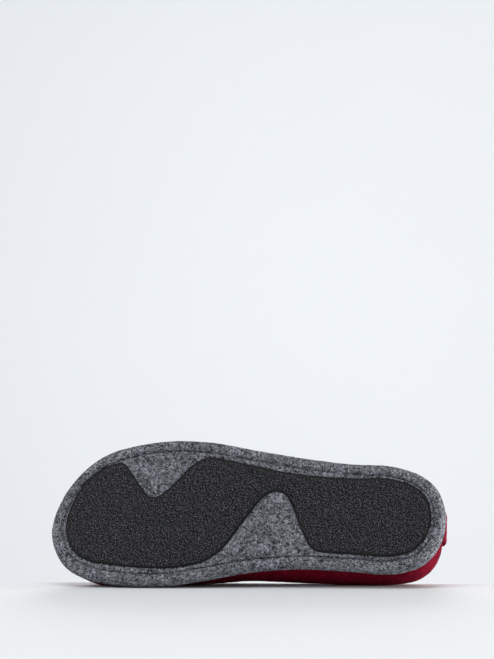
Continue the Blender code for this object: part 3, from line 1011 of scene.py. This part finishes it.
def strand_tracks(rng, count, length, pull, carrier, covers):
    """Places, normals and headings along strands that start at random on a piece and follow its skin.

    A strand whose start is covered by another piece is left out.
    """
    sole_up = Vector(POSE[:3, 2])
    points, triangles = surface_of([carrier])
    skin = BVHTree.FromPolygons(points.tolist(), triangles.tolist())
    cover = BVHTree.FromPolygons(*(part.tolist() for part in surface_of(covers)))
    a, b, c = (points[triangles[:, k]] for k in range(3))
    area = np.linalg.norm(np.cross(b - a, c - a), axis=1)
    ends = np.cumsum(area)
    tracks = []
    while len(tracks) < count:
        pick = np.searchsorted(ends, rng.random() * ends[-1])
        u, v = rng.random(2)
        if u + v > 1:
            u, v = 1 - u, 1 - v
        root = Vector(a[pick] + u * (b[pick] - a[pick]) + v * (c[pick] - a[pick]))
        place, normal, _, _ = skin.find_nearest(root)
        if cover.ray_cast(place + normal * COVER_CLEAR, normal, COVER_REACH)[0] is not None:
            continue
        heading = (normal.cross(Vector(rng.normal(size=3))) + sole_up.cross(normal) * pull).normalized()
        step = length * MM * rng.uniform(*LENGTH_SPREAD) / STRAND_STEPS
        bend = rng.normal(0, STRAND_BEND)
        track = [(place, normal, heading)]
        for _ in range(STRAND_STEPS):
            place, normal, _, _ = skin.find_nearest(place + heading * step)
            heading = heading - normal * heading.dot(normal)
            heading.rotate(Quaternion(normal, bend + rng.normal(0, STRAND_WAVER)))
            heading.normalize()
            track.append((place, normal, heading))
        tracks.append(track)
    return np.array(tracks)


def make_wool(name, material, sizes, carrier, covers, slot, seed):
    """Curved wool strands pressed onto a felt piece, some of them standing off it."""
    count, length, width, lift, loose_share, stand_off, pull = sizes
    rng = np.random.default_rng(seed)
    tracks = strand_tracks(rng, count, length, pull, carrier, covers)
    middle = tracks[:, :, 0]
    normal = tracks[:, :, 1]
    across = np.cross(normal, tracks[:, :, 2])
    rise = lift * np.array(STRAND_LIFT) * rng.uniform(*LIFT_SPREAD, (count, 1))
    loose = (rng.random(count) < loose_share)[:, None]
    stand = stand_off * rng.uniform(*STAND_OFF_SPREAD, (count, 1)) * np.array(STRAND_STAND_OFF)
    rise = np.where(loose, stand, rise)
    half = width / 2 * np.array(STRAND_WIDTH) * rng.uniform(*WIDTH_SPREAD, (count, 1))
    half = np.where(loose, half * LOOSE_WIDTH, half)
    middle = middle + normal * rise[:, :, None] * MM
    left = middle + across * half[:, :, None] * MM
    right = middle - across * half[:, :, None] * MM
    strip = np.stack([left, right], axis=2).reshape(-1, 3)
    strand_points = 2 * (STRAND_STEPS + 1)
    first = strand_points * np.arange(count)[:, None] + 2 * np.arange(STRAND_STEPS)[None, :]
    first = first.reshape(-1)
    faces = np.stack([first, first + 1, first + 3, first + 2], axis=1)
    return add_mesh(name, strip, faces.tolist(), material)


# Floor, light and camera


def stage_piece(name, points, faces, colour):
    """A matt piece of the studio, all but even in tone."""
    mesh = bpy.data.meshes.new(name)
    mesh.from_pydata(points, [], faces)
    material, tree, shader = new_material(name, colour, 0.85)
    faint = noise_node(tree, 2.5, detail=2.0, roughness=0.5)
    low = tuple(0.995 * part for part in colour)
    high = tuple(1.005 * part for part in colour)
    tree.links.new(ramp_node(tree, faint, ((0.3, low), (0.7, high))), shader.inputs["Base Color"])
    shader.inputs["Specular IOR Level"].default_value = 0.1
    mesh.materials.append(material)
    obj = bpy.data.objects.new(name, mesh)
    bpy.context.scene.collection.objects.link(obj)


def make_stage():
    """A pale table that falls away a little from just behind the slipper, and a pale wall far behind it."""
    drop = (TABLE_RIDGE - TABLE_FAR) * math.tan(math.radians(TABLE_FALL_DEG))
    profile = ((TABLE_NEAR, 0.0), (TABLE_RIDGE, 0.0), (TABLE_FAR, drop))
    table = [(x, y, z) for y, z in profile for x in (-TABLE_HALF_WIDE, TABLE_HALF_WIDE)]
    stage_piece("pale_table", table, [(0, 1, 3, 2), (2, 3, 5, 4)], TABLE_COLOUR)
    wall = [(x, WALL_AWAY, z) for z in (WALL_FOOT, WALL_HEAD) for x in (-WALL_HALF_WIDE, WALL_HALF_WIDE)]
    stage_piece("pale_wall", wall, [(0, 1, 3, 2)], WALL_COLOUR)


def add_area(name, place, target, size, power, colour):
    """A round soft lamp, kept out of the picture itself."""
    data = bpy.data.lights.new(name, "AREA")
    data.shape = "DISK"
    data.size = size
    data.energy = power
    data.color = colour
    lamp = bpy.data.objects.new(name, data)
    lamp.location = place
    lamp.rotation_euler = (Vector(target) - Vector(place)).to_track_quat("-Z", "Y").to_euler()
    lamp.visible_camera = False
    bpy.context.scene.collection.objects.link(lamp)


def make_lights():
    """Even studio light: lamps behind, above, in front and low on the right, and one for the wall alone."""
    world = bpy.data.worlds.new("studio")
    world.use_nodes = True
    sky = world.node_tree.nodes["Background"]
    sky.inputs["Color"].default_value = SKY_COLOUR
    sky.inputs["Strength"].default_value = SKY_STRENGTH
    bpy.context.scene.world = world
    for lamp in LAMPS:
        add_area(*lamp)


def make_camera():
    """Looks at the tread from just above the floor; the picture's scale and frame follow the photo's."""
    rise = math.radians(CAMERA_RISE_DEG)
    swing = math.radians(CAMERA_SWING_DEG)
    back = Vector((math.sin(swing) * math.cos(rise), -math.cos(swing) * math.cos(rise), math.sin(rise)))
    target = Vector(lay(np.array([[-LENGTH / 2, 0.0, 0.0]]))[0])
    data = bpy.data.cameras.new("camera")
    camera = bpy.data.objects.new("camera", data)
    camera.location = target + back * CAMERA_AWAY
    pixel = 1 / (PIXELS_PER_MM * 1000) / CAMERA_AWAY
    data.sensor_fit = "VERTICAL"
    data.sensor_height = SENSOR_HEIGHT
    data.lens = SENSOR_HEIGHT / (PICTURE[1] * pixel)
    side = math.atan((AIM_PIXEL[0] - PICTURE[0] / 2) * pixel)
    down = math.atan((AIM_PIXEL[1] - PICTURE[1] / 2) * pixel)
    look = (-back).to_track_quat("-Z", "Y").to_matrix()
    look = look @ Matrix.Rotation(side, 3, "Y") @ Matrix.Rotation(down, 3, "X")
    camera.rotation_euler = look.to_euler()
    bpy.context.scene.collection.objects.link(camera)
    bpy.context.scene.camera = camera


def main():
    """Makes every piece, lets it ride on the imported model's body and sets the stage."""
    bpy.context.scene.view_settings.view_transform = "Standard"
    tread = make_tread()
    sole = make_sole()
    footbed = make_footbed()
    upper = make_upper()
    tab = make_heel_tab()
    stitches = make_tab_stitches()
    bpy.context.view_layer.update()
    felt = {
        # piece, the pieces that cover it, its slot
        "sole": (sole, [tread, footbed, upper], "grey_felt"),
        "footbed": (footbed, [upper, sole], "footbed_felt"),
        "upper": (upper, [sole, footbed, tab], "red_felt"),
        "tab": (tab, [upper], "tab_felt"),
    }
    pieces = [tread, sole, footbed, upper, tab, stitches]
    for seed, (name, piece, tone, *sizes) in enumerate(WOOL, WOOL_FIRST_SEED):
        pieces.append(make_wool(name, WOOL_TONES[tone], sizes, *felt[piece], seed))
    for piece in pieces:
        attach(piece, "root")
    make_stage()
    make_lights()
    make_camera()
    bpy.context.view_layer.update()


main()
